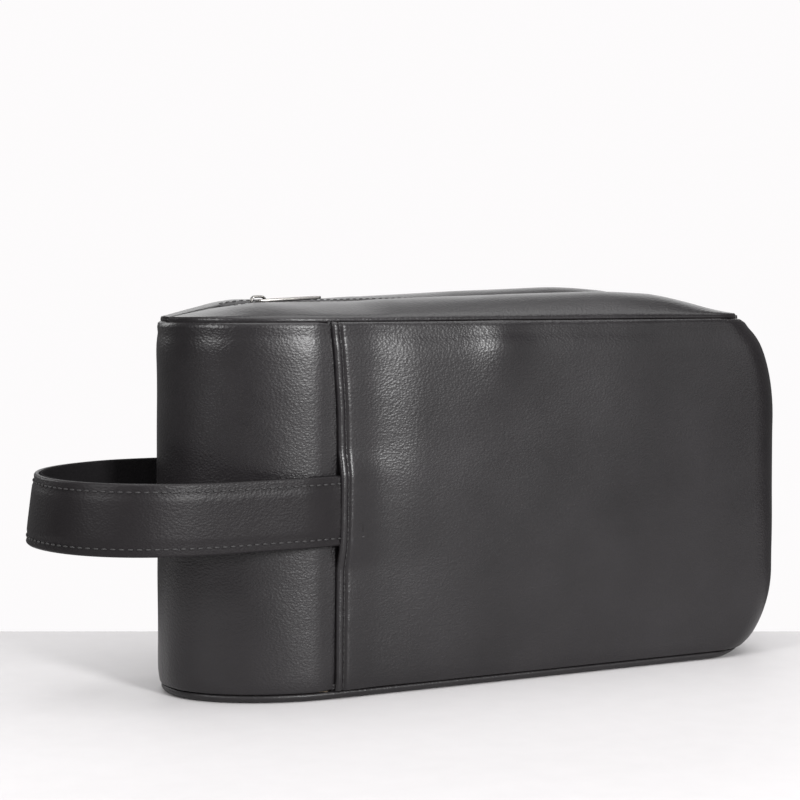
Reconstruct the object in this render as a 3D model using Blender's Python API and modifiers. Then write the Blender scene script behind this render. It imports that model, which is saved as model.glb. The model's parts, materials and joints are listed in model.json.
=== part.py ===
"""Leather wash bag with a lengthwise zip and a looped side strap.

Metres, +Z up. The origin is the middle of the bag's length on the underside of the
base. +X runs along the bag away from the strap, and the front faces -Y. The left end
(-X) is one rounded leather panel between two vertical seams, the front and back
panels meet at the middle of the right end, and the top is two crowned leather strips
on either side of the zip.
"""
import math

import bmesh
import bpy
from mathutils import Vector

# Overall sizes
LENGTH = 0.254            # rounded left end to right end
DEPTH = 0.075             # front to back
SEAM_HEIGHT = 0.135       # table to the top seam
CREST_RISE = 0.0105       # the top strips' highest line above the top seam
CLEARANCE = 0.0003        # between pieces that touch

# Plan shape of the walls
NOSE = 0.051              # left end to the vertical seams
CORNER = 0.018            # plan radius of the right end's corners
TOP_DOME = (0.017, 0.042)     # the right end leans in at the top: how far, over what height
FOOT_DOME = (0.021, 0.034)    # and at the foot
FOOT_EDGE = 0.003         # rounding where the walls meet the base

# Wall layers, outside to inside
LEATHER = 0.0012
FOAM = 0.0016
LINING = 0.0004
BASE_LEATHER = 0.0014
BOARD = 0.0020

# Top strips and zip
STRIP = 0.0012
ZIP_INSETS = (0.027, 0.022)   # the chain's ends, from the left end and the top's right end
ZIP_OPEN = 0.0100         # width between the strips
ZIP_TAPER = 0.007         # how fast they close beyond the zip
STRIP_LIFT = 0.0042       # the strips' zip edges above their outer edges
CREST_INSET = 0.065       # from the strips' highest place to the top's right end
LEFT_SAG = 0.45           # how much of the crown is lost towards the strap
TAPE_WIDTH = 0.0065
TAPE = 0.0006
TOOTH_PITCH = 0.0030
TOOTH_HEIGHT = 0.0020
TOOTH_REACH = 0.0024      # from the centre line to the tape
TOOTH_TIP = 0.0006        # from the centre line to the tooth tips
STOP_LENGTH = 0.0022

# Slider and pull
SLIDER_PARKS = (0.0088, 0.0142)   # its middle, from the chain's ends
SLIDER_LENGTH = 0.0120
SLIDER_SIDE = 0.0008      # from the slider to each strip
SLIDER_PLATE = 0.0010
POST = (0.0045, 0.0006)
BRIDGE = (0.0064, 0.0022, 0.0034)
BRIDGE_WALL = 0.0011
PULL_SETBACK = 0.0020     # from the slider's middle to the pull's axis
PULL_LIFT = 0.0012        # from the slider's top to the pull's axis
PULL_LENGTH = 0.0245
PULL_WIDTH = 0.0060
PULL = 0.0011
PULL_SLOT = (0.0060, 0.0026)
MOUTH_MARGIN = 0.0010     # from the pull, parked at either end, to the lifting stretch

# Strap
STRAP_WIDTH = 0.025
STRAP_HEIGHT = 0.068      # its middle line above the table
STRAP_OUTER = 0.0018
STRAP_LINING = 0.0012
STRAP_STANDOFF = 0.0008   # from the front panel's plane to the strap's inner face
STRAP_REACH = 0.047       # from the left end to the outside of the loop
BIGHT = 0.047             # length of the loop's rounded part

# Worked out from the sizes above
LEFT = -LENGTH / 2
RIGHT = LENGTH / 2
HALF = DEPTH / 2
SEAM_X = LEFT + NOSE
WALL_FOOT = BASE_LEATHER + CLEARANCE
EDGE_TOP = SEAM_HEIGHT + CLEARANCE + STRIP
ZIP_TOP = EDGE_TOP + STRIP_LIFT
TAPE_TOP = ZIP_TOP - STRIP - 0.0006
TOOTH_MID = TAPE_TOP - TAPE / 2
TOP_RIGHT = RIGHT - TOP_DOME[0]
ZIP_LEFT = LEFT + ZIP_INSETS[0]
ZIP_RIGHT = TOP_RIGHT - ZIP_INSETS[1]
CREST_AT = TOP_RIGHT - CREST_INSET
SLIDER_WIDTH = ZIP_OPEN - 2 * SLIDER_SIDE
SLIDER_AT = ZIP_LEFT + SLIDER_PARKS[0]
SLIDER_END = ZIP_RIGHT - SLIDER_PARKS[1]
SLIDER_TOP = TOOTH_MID + TOOTH_HEIGHT / 2 + CLEARANCE + SLIDER_PLATE
PULL_AXIS = (SLIDER_AT + PULL_SETBACK, 0.0, SLIDER_TOP + PULL_LIFT)
PULL_TRAVEL = SLIDER_END - SLIDER_AT
MOUTH_LEFT = PULL_AXIS[0] + PULL_LENGTH + MOUTH_MARGIN
MOUTH_RIGHT = PULL_AXIS[0] + PULL_TRAVEL - PULL_LENGTH - MOUTH_MARGIN
STRAP_PIVOT_X = SEAM_X - STRAP_WIDTH / 2


def clear_scene():
    for obj in list(bpy.data.objects):
        bpy.data.objects.remove(obj, do_unlink=True)


def new_collection(name):
    group = bpy.data.collections.new(name)
    bpy.context.scene.collection.children.link(group)
    return group


def material(name, colour, roughness, metallic=0.0):
    made = bpy.data.materials.new(name)
    made.use_nodes = True
    shader = made.node_tree.nodes["Principled BSDF"]
    shader.inputs["Base Color"].default_value = (*colour, 1.0)
    shader.inputs["Roughness"].default_value = roughness
    shader.inputs["Metallic"].default_value = metallic
    return made


def link(obj, mat, parent=None):
    obj.data.materials.clear()
    obj.data.materials.append(mat)
    PARTS.objects.link(obj)
    if parent is not None:
        obj.parent = parent
        obj.matrix_parent_inverse = parent.matrix_world.inverted()
    return obj


def pivot(name, place):
    empty = bpy.data.objects.new(name, None)
    empty.location = place
    PARTS.objects.link(empty)
    bpy.context.view_layer.update()
    return empty


def sheet(name, rows, thickness, mat, parent=None, flip=False):
    """A surface through rows of points, thickened on its inner side with Solidify."""
    mesh = bpy.data.meshes.new(name)
    bm = bmesh.new()
    grid = [[bm.verts.new(point) for point in row] for row in rows]
    for lower, upper in zip(grid, grid[1:]):
        for i in range(len(lower) - 1):
            face = [lower[i], lower[i + 1], upper[i + 1], upper[i]]
            bm.faces.new(face[::-1] if flip else face)
    bm.to_mesh(mesh)
    bm.free()
    obj = bpy.data.objects.new(name, mesh)
    wall = obj.modifiers.new("Thickness", "SOLIDIFY")
    wall.thickness = thickness
    wall.offset = -1
    wall.use_even_offset = True
    mesh.shade_smooth()
    return link(obj, mat, parent)


def plate(name, outline, low, high, mat, parent=None):
    """A flat outline given as (x, y) points, between two heights."""
    curve = bpy.data.curves.new(name, "CURVE")
    curve.dimensions = "2D"
    curve.fill_mode = "BOTH"
    curve.extrude = (high - low) / 2
    line = curve.splines.new("POLY")
    line.points.add(len(outline) - 1)
    for point, (x, y) in zip(line.points, outline):
        point.co = (x, y, 0, 1)
    line.use_cyclic_u = True
    obj = bpy.data.objects.new(name, curve)
    obj.location.z = (low + high) / 2
    return link(obj, mat, parent)


def box(bm, low, high):
    made = bmesh.ops.create_cube(bm, size=1.0)["verts"]
    size = Vector(high) - Vector(low)
    middle = (Vector(high) + Vector(low)) / 2
    for vert in made:
        vert.co = Vector(a * b for a, b in zip(vert.co, size)) + middle


def box_object(name, low, high):
    mesh = bpy.data.meshes.new(name)
    bm = bmesh.new()
    box(bm, low, high)
    bm.to_mesh(mesh)
    bm.free()
    return bpy.data.objects.new(name, mesh)


def boolean(obj, other, operation):
    CUTTERS.objects.link(other)
    other.hide_render = True
    other.display_type = "WIRE"
    step = obj.modifiers.new(operation.title(), "BOOLEAN")
    step.operation = operation
    step.solver = "EXACT"
    step.object = other


def rise(value, start, span):
    """0 before start, 1 a span later, and the share between."""
    return min(max((value - start) / span, 0.0), 1.0)


def right_end(z):
    """How far the right end reaches at a height."""
    top = TOP_DOME[0] * rise(z, SEAM_HEIGHT - TOP_DOME[1], TOP_DOME[1]) ** 3
    foot = FOOT_DOME[0] * (1 - rise(z, 0, FOOT_DOME[1])) ** 3
    return RIGHT - top - foot


def foot_inset(z):
    share = 1 - rise(z, 0, FOOT_EDGE)
    return FOOT_EDGE * (1 - math.sqrt(1 - (0.9 * share) ** 2))


def outer_point(way, z):
    """A point on the leather's outer face, on the front half of the outline.

    way runs 0 to 1 round the left end from its tip to the vertical seam, 1 to 2 along
    the front to the right corner, 2 to 3 round the corner and 3 to 4 to the middle of
    the right end.
    """
    inset = foot_inset(z)
    half = HALF - inset
    end = right_end(z) - inset
    radius = CORNER - inset
    if way <= 1:
        turn = way * math.pi / 2
        x = SEAM_X - (NOSE - inset) * math.cos(turn)
        return Vector((x, -half * math.sin(turn), z))
    if way <= 2:
        return Vector((SEAM_X + (end - radius - SEAM_X) * (way - 1), -half, z))
    if way <= 3:
        turn = (way - 2) * math.pi / 2
        x = end - radius + radius * math.sin(turn)
        return Vector((x, -half + radius - radius * math.cos(turn), z))
    return Vector((end, (-half + radius) * (4 - way), z))


def wall_point(way, z, inset=0.0):
    """The point that lies an inset behind the leather's outer face, square to it."""
    step = 0.0004
    along = outer_point(way + step, z) - outer_point(way - step, z)
    up = outer_point(way, z + step) - outer_point(way, z)
    outward = along.cross(up).normalized()
    return outer_point(way, z) - outward * inset


def heights(low, high):
    marks = [FOOT_EDGE] + [share * FOOT_DOME[1] for share in (0.3, 0.65, 1)]
    marks.append((FOOT_DOME[1] + SEAM_HEIGHT - TOP_DOME[1]) / 2)
    marks += [SEAM_HEIGHT - share * TOP_DOME[1] for share in (1, 0.6, 0.35, 0.15)]
    return [low] + [z for z in marks if low + 0.001 < z < high - 0.001] + [high]


def spread(start, end, steps):
    return [start + (end - start) * i / steps for i in range(steps + 1)]


def wall(name, ways, inset, thickness, low, high, mat, side=1, share_gap=0.0):
    """A wall layer over a stretch of the front outline, or of the back when side is -1."""
    rows = []
    for z in heights(low, high):
        row = []
        for way in ways:
            x, y, height = wall_point(way, z, inset)
            row.append((x, side * min(y, -share_gap), height))
        rows.append(row)
    return sheet(name, rows, thickness, mat, flip=side < 0)


def nose_wall(name, inset, thickness, low, high, mat):
    """The rounded left end, from the front seam round to the back one."""
    rows = []
    for z in heights(low, high):
        half = [wall_point(way, z, inset) for way in spread(0, 1 - NOSE_GAP, 9)]
        back = [(x, -y, height) for x, y, height in reversed(half[1:])]
        rows.append(back + half)
    return sheet(name, rows, thickness, mat)


def base_outline(z, inset):
    ways = spread(0, 1, 9) + [2] + spread(2, 3, 5)[1:]
    front = [tuple(wall_point(way, z, inset).xy) for way in ways]
    back = [(x, -y) for x, y in reversed(front) if y < -1e-6]
    return front + back


def strip_width(x):
    """Half the bag's width at the top seam, at a place along it."""
    if x < SEAM_X:
        share = (SEAM_X - x) / NOSE
        return HALF * math.sqrt(max(1 - share * share, 0.0))
    if x > TOP_RIGHT - CORNER:
        turn = min((x - TOP_RIGHT + CORNER) / CORNER, 1.0)
        return HALF - CORNER + CORNER * math.sqrt(1 - turn * turn)
    return HALF


def zip_gap(x):
    """Half the gap between the strips: the zip's opening, closed beyond its ends."""
    past = max(ZIP_LEFT - x, x - ZIP_RIGHT, 0.0)
    closed = rise(past, 0, ZIP_TAPER)
    return ZIP_OPEN / 2 * (1 - closed) + CLEARANCE / 2 * closed


def strip_height(x, share):
    """The strips' top surface: share runs 0 at the outer seam to 1 at the zip."""
    left_fall = rise(ZIP_LEFT - x, 0, ZIP_LEFT - LEFT)
    right_fall = rise(x, ZIP_RIGHT, TOP_RIGHT - ZIP_RIGHT)
    ends = 1 - max(left_fall, right_fall) ** 2
    swell = CREST_RISE - STRIP - 0.75 * STRIP_LIFT
    left = rise(CREST_AT - x, 0, CREST_AT - SEAM_X)
    right = rise(x, CREST_AT, TOP_RIGHT - CREST_AT)
    swell *= (1 - LEFT_SAG * left * left * (3 - 2 * left)) * (1 - right * right)
    lift = STRIP_LIFT * (1 - (1 - share) ** 2)
    return EDGE_TOP + (lift + swell * 4 * share * (1 - share)) * ends


def top_strip(name, stations, side, mat, parent=None):
    """A leather strip of the top: side is 1 for the front and -1 for the back."""
    rows = []
    for x in stations:
        outer = strip_width(x) - CLEARANCE
        inner = zip_gap(x)
        row = []
        for share in (0, 0.06, 0.18, 0.38, 0.6, 0.82, 1):
            y = outer + (inner - outer) * share
            row.append((x, -side * y, strip_height(x, share)))
        rows.append(row)
    return sheet(name, rows, STRIP, mat, parent, flip=side > 0)


def tape(name, start, end, side, mat, parent=None):
    inner = TOOTH_REACH + CLEARANCE
    outer = inner + TAPE_WIDTH
    outline = [(start, -side * inner), (end, -side * inner), (end, -side * outer)]
    outline.append((start, -side * outer))
    return plate(name, outline, TAPE_TOP - TAPE, TAPE_TOP, mat, parent)


def teeth(name, start, end, side, mat, parent=None):
    """A row of zip teeth; the back row is half a pitch along from the front one."""
    shift = 0.0 if side > 0 else TOOTH_PITCH / 2
    first = math.ceil((start + 0.0002 - ZIP_LEFT - shift) / TOOTH_PITCH + 0.25)
    root = TOOTH_TIP + 0.4 * (TOOTH_REACH - TOOTH_TIP)
    outline = [(start, TOOTH_REACH), (start, root)]
    number = first
    while True:
        middle = ZIP_LEFT + shift + number * TOOTH_PITCH
        if middle + 0.25 * TOOTH_PITCH > end - 0.0002:
            break
        outline += [(middle - 0.24 * TOOTH_PITCH, root), (middle - 0.17 * TOOTH_PITCH, TOOTH_TIP)]
        outline += [(middle + 0.17 * TOOTH_PITCH, TOOTH_TIP), (middle + 0.24 * TOOTH_PITCH, root)]
        number += 1
    outline += [(end, root), (end, TOOTH_REACH)]
    outline = [(x, -side * y) for x, y in outline]
    half = TOOTH_HEIGHT / 2
    return plate(name, outline, TOOTH_MID - half, TOOTH_MID + half, mat, parent)


def slider(mat, parent):
    """Two plates with turned-in lips, joined by the post between the rows of teeth."""
    left = SLIDER_AT - SLIDER_LENGTH / 2
    right = SLIDER_AT + SLIDER_LENGTH / 2
    half = SLIDER_WIDTH / 2
    inner_top = TOOTH_MID + TOOTH_HEIGHT / 2 + CLEARANCE
    inner_low = TOOTH_MID - TOOTH_HEIGHT / 2 - CLEARANCE
    top = inner_top + SLIDER_PLATE
    body = box_object("slider_body", (left, -half, inner_low - SLIDER_PLATE), (right, half, top))
    channel = TOOTH_REACH + 2 * CLEARANCE
    over = 0.001
    for side in (1, -1):
        low, high = sorted((side * POST[1] / 2, side * channel))
        boolean(body, box_object("tooth_channel", (left - over, low, inner_low),
                                 (right + over, high, inner_top)), "DIFFERENCE")
        low, high = sorted((side * (channel - over), side * (half + over)))
        slot = (TAPE_TOP - TAPE - CLEARANCE, TAPE_TOP + CLEARANCE)
        boolean(body, box_object("tape_slot", (left - over, low, slot[0]),
                                 (right + over, high, slot[1])), "DIFFERENCE")
    boolean(body, box_object("post_relief", (left + POST[0], -POST[1], inner_low),
                             (right + over, POST[1], inner_top)), "DIFFERENCE")
    length, width, height = BRIDGE
    start = PULL_AXIS[0] - length / 2
    boolean(body, box_object("bridge", (start, -width / 2, top - SLIDER_PLATE / 2),
                             (start + length, width / 2, top + height)), "UNION")
    boolean(body, box_object("bridge_window", (start + BRIDGE_WALL, -half, top),
                             (start + length - BRIDGE_WALL, half, top + height - BRIDGE_WALL)),
            "DIFFERENCE")
    return link(body, mat, parent)


def pull(mat, parent):
    """The pull: an eye round the slider's bridge, and a plate with a slot near its end."""
    x, _, z = PULL_AXIS
    half = PULL_WIDTH / 2
    bar = PULL / 2
    tab = box_object("pull_tab", (x - bar, -half, z - bar), (x + PULL_LENGTH, half, z + bar))
    eye_end = x + BRIDGE[0] / 2 + 2 * CLEARANCE + 0.0022
    boolean(tab, box_object("pull_eye", (x + bar, -BRIDGE[1] / 2 - 0.0005, z - PULL),
                            (eye_end, BRIDGE[1] / 2 + 0.0005, z + PULL)), "DIFFERENCE")
    end = x + PULL_LENGTH - 0.0016
    boolean(tab, box_object("pull_slot", (end - PULL_SLOT[0], -PULL_SLOT[1] / 2, z - PULL),
                            (end, PULL_SLOT[1] / 2, z + PULL)), "DIFFERENCE")
    return link(tab, mat, parent)


def strap_layer(name, outward, thickness, mat, parent):
    """One leather layer of the strap, its outer face a distance out from the inner face."""
    run = HALF + STRAP_STANDOFF + outward
    loop_start = LEFT - STRAP_REACH + BIGHT
    reach = BIGHT - STRAP_OUTER - CLEARANCE - STRAP_LINING + outward
    radius = STRAP_WIDTH / 2
    path = []
    for turn in spread(78, 0, 5)[:-1]:
        x = STRAP_PIVOT_X + radius * math.sin(math.radians(turn))
        path.append((x, -run, radius * math.cos(math.radians(turn))))
    for x in spread(STRAP_PIVOT_X, loop_start, 2):
        path.append((x, -run, radius))
    for turn in spread(0, 90, 9)[1:]:
        angle = math.radians(turn)
        path.append((loop_start - reach * math.sin(angle), -run * math.cos(angle), radius))
    path += [(x, -y, half) for x, y, half in reversed(path[:-1])]
    rows = [[(x, y, STRAP_HEIGHT + level * half) for x, y, half in path] for level in (-1, 0, 1)]
    return sheet(name, rows, thickness, mat, parent, flip=True)


clear_scene()
PARTS = new_collection("wash_bag")
CUTTERS = new_collection("cutters")
NOSE_GAP = 0.004          # share of the rounded end left open beside each vertical seam

outer_leather = material("black leather", (0.035, 0.032, 0.034), 0.45)
suede = material("strap lining leather", (0.030, 0.028, 0.029), 0.85)
foam = material("grey foam", (0.30, 0.30, 0.31), 0.95)
board = material("stiff board", (0.36, 0.29, 0.21), 0.9)
lining = material("black lining cloth", (0.045, 0.045, 0.05), 0.8)
tape_cloth = material("black zip tape", (0.02, 0.02, 0.022), 0.85)
tooth_plastic = material("black zip teeth", (0.03, 0.03, 0.032), 0.4)
zip_metal = material("bright zip metal", (0.78, 0.77, 0.75), 0.25, 1.0)

# Walls: leather outside, foam behind it, cloth lining inside
foam_inset = LEATHER + CLEARANCE
lining_inset = foam_inset + FOAM + CLEARANCE
front_ways = spread(1 + 0.5 * NOSE_GAP, 2, 8) + spread(2, 3, 5)[1:] + [4]
half_ways = spread(0, 1, 7) + spread(1, 2, 6)[1:] + spread(2, 3, 5)[1:] + [4]
foam_top = SEAM_HEIGHT - 0.0010
lining_foot = BASE_LEATHER + BOARD + 3 * CLEARANCE + LINING
nose_wall("end_panel", 0, LEATHER, WALL_FOOT, SEAM_HEIGHT, outer_leather)
nose_wall("end_foam", foam_inset, FOAM, WALL_FOOT, foam_top, foam)
for word, side in (("front", 1), ("back", -1)):
    seam = CLEARANCE / 2
    wall(word + "_panel", front_ways, 0, LEATHER, WALL_FOOT, SEAM_HEIGHT,
         outer_leather, side, seam)
    wall(word + "_foam", front_ways, foam_inset, FOAM, WALL_FOOT, foam_top, foam, side, seam)
    wall(word + "_lining", half_ways, lining_inset, LINING, lining_foot + CLEARANCE,
         foam_top, lining, side, seam)

# Base: leather outside, a stiff board on it, cloth lining above
board_foot = BASE_LEATHER + CLEARANCE
board_inset = foam_inset + FOAM + 2 * CLEARANCE
plate("base_panel", base_outline(0.0, 0.0), 0.0, BASE_LEATHER, outer_leather)
plate("base_board", base_outline(WALL_FOOT, board_inset), board_foot, board_foot + BOARD, board)
plate("base_lining", base_outline(WALL_FOOT, board_inset), lining_foot - LINING,
      lining_foot, lining)

# Top: strips, zip tapes and teeth, in a lifting middle and two fixed ends
front_hinge = pivot("front_flap_axis", (0, -HALF + 2 * CLEARANCE, SEAM_HEIGHT + CLEARANCE))
back_hinge = pivot("back_flap_axis", (0, HALF - 2 * CLEARANCE, SEAM_HEIGHT + CLEARANCE))
cut = CLEARANCE / 2
strip_left = [LEFT + step for step in (0.0008, 0.003, 0.007, 0.013, 0.020)]
strip_left += [ZIP_LEFT, (ZIP_LEFT + MOUTH_LEFT) / 2, MOUTH_LEFT - cut]
strip_right = [MOUTH_RIGHT + cut, (MOUTH_RIGHT + ZIP_RIGHT) / 2, ZIP_RIGHT]
strip_right += [ZIP_RIGHT + ZIP_TAPER]
strip_right += [TOP_RIGHT - step for step in (0.010, 0.005, 0.0016, 0.0004)]
strip_middle = spread(MOUTH_LEFT + cut, MOUTH_RIGHT - cut, 8)
stretches = (
    ("_left", strip_left, ZIP_LEFT, MOUTH_LEFT - cut),
    ("", strip_middle, MOUTH_LEFT + cut, MOUTH_RIGHT - cut),
    ("_right", strip_right, MOUTH_RIGHT + cut, ZIP_RIGHT),
)
for word, side, hinge in (("front", 1, front_hinge), ("back", -1, back_hinge)):
    for end_word, stations, start, end in stretches:
        parent = hinge if end_word == "" else None
        top_strip(word + "_top_strip" + end_word, stations, side, outer_leather, parent)
        tape(word + "_zip_tape" + end_word, start, end, side, tape_cloth, parent)
        teeth(word + "_zip_teeth" + end_word, start, end, side, tooth_plastic, parent)

# Stops at the ends of the chain
stop_half = TOOTH_HEIGHT / 2
for word, side in (("front", 1), ("back", -1)):
    low, high = sorted((-side * TOOTH_TIP, -side * TOOTH_REACH))
    stop = box_object(word + "_top_stop",
                      (ZIP_LEFT - CLEARANCE - STOP_LENGTH, low, TOOTH_MID - stop_half),
                      (ZIP_LEFT - CLEARANCE, high, TOOTH_MID + stop_half))
    link(stop, zip_metal)
stop = box_object("zip_bottom_stop",
                  (ZIP_RIGHT + CLEARANCE, -TOOTH_REACH, TOOTH_MID - stop_half),
                  (ZIP_RIGHT + CLEARANCE + STOP_LENGTH, TOOTH_REACH, TOOTH_MID + stop_half))
link(stop, zip_metal)

# Slider and pull
slider_place = pivot("slider_start", (SLIDER_AT, 0, TOOTH_MID))
pull_place = pivot("pull_axis", PULL_AXIS)
pull_place.parent = slider_place
pull_place.matrix_parent_inverse = slider_place.matrix_world.inverted()
bpy.context.view_layer.update()
slider(zip_metal, slider_place)
pull(zip_metal, pull_place)

# Strap: two leather layers that swing together about the seams they are sewn into
strap_axis = pivot("strap_axis", (STRAP_PIVOT_X, 0, STRAP_HEIGHT))
strap_layer("strap_outer", STRAP_LINING + CLEARANCE + STRAP_OUTER, STRAP_OUTER,
            outer_leather, strap_axis)
strap_layer("strap_lining", STRAP_LINING, STRAP_LINING, suede, strap_axis)
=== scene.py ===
# %% [markdown]
# # A leather wash bag
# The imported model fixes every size, every joint and every place. This notebook gives it
# its looks: rolled leather seams, a crowned top, a stitched strap, a zip and a cloth
# lining. Each step says what the piece is on the real bag before it is made.

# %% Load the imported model
import json
import math

import bmesh
import bpy
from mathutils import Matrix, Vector, noise


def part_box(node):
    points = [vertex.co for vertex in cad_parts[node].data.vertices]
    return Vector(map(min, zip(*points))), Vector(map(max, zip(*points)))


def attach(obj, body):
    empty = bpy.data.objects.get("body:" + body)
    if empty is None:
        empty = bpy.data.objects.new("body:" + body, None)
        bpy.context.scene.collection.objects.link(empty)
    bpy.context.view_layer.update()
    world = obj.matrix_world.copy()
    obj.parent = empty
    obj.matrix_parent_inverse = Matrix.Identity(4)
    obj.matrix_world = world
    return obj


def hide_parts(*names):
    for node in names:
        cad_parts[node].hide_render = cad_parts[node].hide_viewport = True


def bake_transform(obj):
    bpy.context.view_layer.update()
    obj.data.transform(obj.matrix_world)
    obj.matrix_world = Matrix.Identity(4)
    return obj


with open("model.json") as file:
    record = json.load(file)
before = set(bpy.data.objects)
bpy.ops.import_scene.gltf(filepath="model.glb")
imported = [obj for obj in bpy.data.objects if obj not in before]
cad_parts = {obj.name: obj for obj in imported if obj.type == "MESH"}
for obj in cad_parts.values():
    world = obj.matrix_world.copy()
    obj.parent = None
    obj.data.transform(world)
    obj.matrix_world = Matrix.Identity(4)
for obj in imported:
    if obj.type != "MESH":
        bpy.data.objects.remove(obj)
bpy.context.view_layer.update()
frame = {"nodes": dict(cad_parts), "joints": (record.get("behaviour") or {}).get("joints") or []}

# %% [markdown]
# ## Sizes from the frame
# A node's box gives where its walls are, so no size is typed twice. The leather's outer
# face, the two vertical seams and the zip's centre line all come from these boxes.

# %% Sizes
MM = 0.001
nose_low, nose_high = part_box("end_panel")
face_low, face_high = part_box("front_panel")
LEFT = nose_low[0]
SEAM_X = nose_high[0]
RIGHT = face_high[0]
HALF = -face_low[1]
TOP = face_high[2]
STRIP_SHORT = 0.3 * MM
TOP_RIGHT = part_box("front_top_strip_right")[1][0] - STRIP_SHORT
NOSE = SEAM_X - LEFT
MOUTH_LEFT, MOUTH_RIGHT = (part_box("front_zip_tape")[i][0] for i in (0, 1))
MOUTH_MIDDLE = (MOUTH_LEFT + MOUTH_RIGHT) / 2
ZIP_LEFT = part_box("front_zip_tape_left")[0][0]
ZIP_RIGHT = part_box("front_zip_tape_right")[1][0]
TAPE_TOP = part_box("front_zip_tape")[1][2]
STRAP_LOW, STRAP_HIGH = (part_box("strap_outer")[i] for i in (0, 1))
STRAP_Z = (STRAP_LOW[2] + STRAP_HIGH[2]) / 2
joints = {joint["name"]: joint for joint in frame["joints"]}
PULL_AXIS = joints["pull_swing"]["pos_m"]
print("leather from", round(LEFT, 4), "to", round(RIGHT, 4), "half depth", round(HALF, 4))

# %% [markdown]
# ## Wrapping shader maths
# A material is easier to read as arithmetic. This small class wraps a socket, and each
# operator adds the Math node that does it. A sum may also start with a plain number.

# %% Shader helpers
class Value:
    def __init__(self, tree, socket):
        self.tree = tree
        self.socket = socket

    def math(self, operation, *others):
        values = {i + 1: other for i, other in enumerate(others)}
        made = add(self.tree, "ShaderNodeMath", {0: self, **values}, operation=operation)
        return Value(self.tree, made.outputs[0])

    def __add__(self, other):
        return self.math("ADD", other)

    def __mul__(self, other):
        return self.math("MULTIPLY", other)

    def __sub__(self, other):
        return self.math("SUBTRACT", other)

    __radd__ = __add__


def add(tree, kind, values=None, **settings):
    """Adds a node, makes its settings, then fills its sockets with numbers or links."""
    made = tree.nodes.new(kind)
    for name, setting in settings.items():
        setattr(made, name, setting)
    for name, value in (values or {}).items():
        if isinstance(value, Value):
            value = value.socket
        if isinstance(value, bpy.types.Node):
            value = value.outputs[0]
        if isinstance(value, bpy.types.NodeSocket):
            tree.links.new(value, made.inputs[name])
        else:
            made.inputs[name].default_value = value
    return made


def start_material(name, roughness, metallic=0.0, specular=0.5):
    made = bpy.data.materials.new(name)
    made.use_nodes = True
    tree = made.node_tree
    shader = tree.nodes["Principled BSDF"]
    shader.inputs["Roughness"].default_value = roughness
    shader.inputs["Metallic"].default_value = metallic
    shader.inputs["Specular IOR Level"].default_value = specular
    place = add(tree, "ShaderNodeTexCoord").outputs["Object"]
    return made, tree, shader, place


def stretched(tree, place, scale):
    """Object coordinates, in metres, stretched by a scale for each axis."""
    return add(tree, "ShaderNodeMapping", {"Vector": place, "Scale": scale}).outputs[0]


def noise_value(tree, vector, scale, detail, rough):
    values = {"Vector": vector, "Scale": scale, "Detail": detail, "Roughness": rough}
    made = add(tree, "ShaderNodeTexNoise", values, noise_dimensions="3D")
    return Value(tree, made.outputs[0])


def cells_value(tree, vector):
    values = {"Vector": vector, "Scale": 1.0, "Smoothness": 0.5}
    made = add(tree, "ShaderNodeTexVoronoi", values, feature="SMOOTH_F1")
    return Value(tree, made.outputs["Distance"])


def mixed(tree, share, dark, light):
    """A colour between two, by a share."""
    made = add(tree, "ShaderNodeMix", {0: share, 6: dark, 7: light}, data_type="RGBA")
    return made.outputs[2]


def bumped(tree, shader, height, depth):
    made = add(tree, "ShaderNodeBump", {"Height": height, "Distance": depth})
    tree.links.new(made.outputs[0], shader.inputs["Normal"])


def varied(tree, shader, socket, value):
    """Drives one of the shader's sockets by a pattern."""
    tree.links.new(value.socket if isinstance(value, Value) else value, shader.inputs[socket])

# %% [markdown]
# ## Leather
# The hide is dyed black and has a fine pebble, about a millimetre across, with shallow
# creases where it was bent. An image texture would repeat, so it is all pattern nodes:
# smooth cells for the pebble, a stretched noise for creases, and a slow noise that clouds
# both the colour and the shine, as handling does.

# %% Leather
PEBBLES_PER_METRE = (1050.0, 1050.0, 1400.0)
LEATHER_RELIEF = 0.35 * MM


def leather(name, dark, light, shine, gloss, pebble, crease, crease_scale):
    made, tree, shader, place = start_material(name, shine, specular=gloss)
    cloud = noise_value(tree, place, scale=22.0, detail=3.0, rough=0.55)
    fine = noise_value(tree, place, scale=1300.0, detail=2.0, rough=0.6)
    grain = cells_value(tree, stretched(tree, place, PEBBLES_PER_METRE))
    folded = stretched(tree, place, crease_scale)
    folds = noise_value(tree, folded, scale=1.0, detail=2.0, rough=0.5)
    share = cloud * 1.6 - 0.45 + fine * 0.35
    varied(tree, shader, "Base Color", mixed(tree, share, dark, light))
    varied(tree, shader, "Roughness", shine - 0.12 + cloud * 0.20 + fine * 0.08)
    height = grain * pebble + folds * crease + fine * (0.3 * pebble)
    bumped(tree, shader, height, LEATHER_RELIEF)
    return made


body_leather = leather("black hide", (0.0052, 0.0044, 0.0050, 1), (0.0115, 0.0100, 0.0112, 1),
                       shine=0.33, gloss=0.40, pebble=0.20, crease=0.13,
                       crease_scale=(90.0, 90.0, 260.0))
edge_leather = leather("rolled hide", (0.0070, 0.0060, 0.0068, 1), (0.0140, 0.0125, 0.0135, 1),
                       shine=0.40, gloss=0.36, pebble=0.25, crease=0.25,
                       crease_scale=(300.0, 300.0, 300.0))
strap_hide = leather("strap hide", (0.0060, 0.0050, 0.0056, 1), (0.0115, 0.0100, 0.0110, 1),
                     shine=0.40, gloss=0.20, pebble=0.20, crease=0.18,
                     crease_scale=(200.0, 200.0, 200.0))
print("leathers", [mat.name for mat in (body_leather, edge_leather, strap_hide)])

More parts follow.
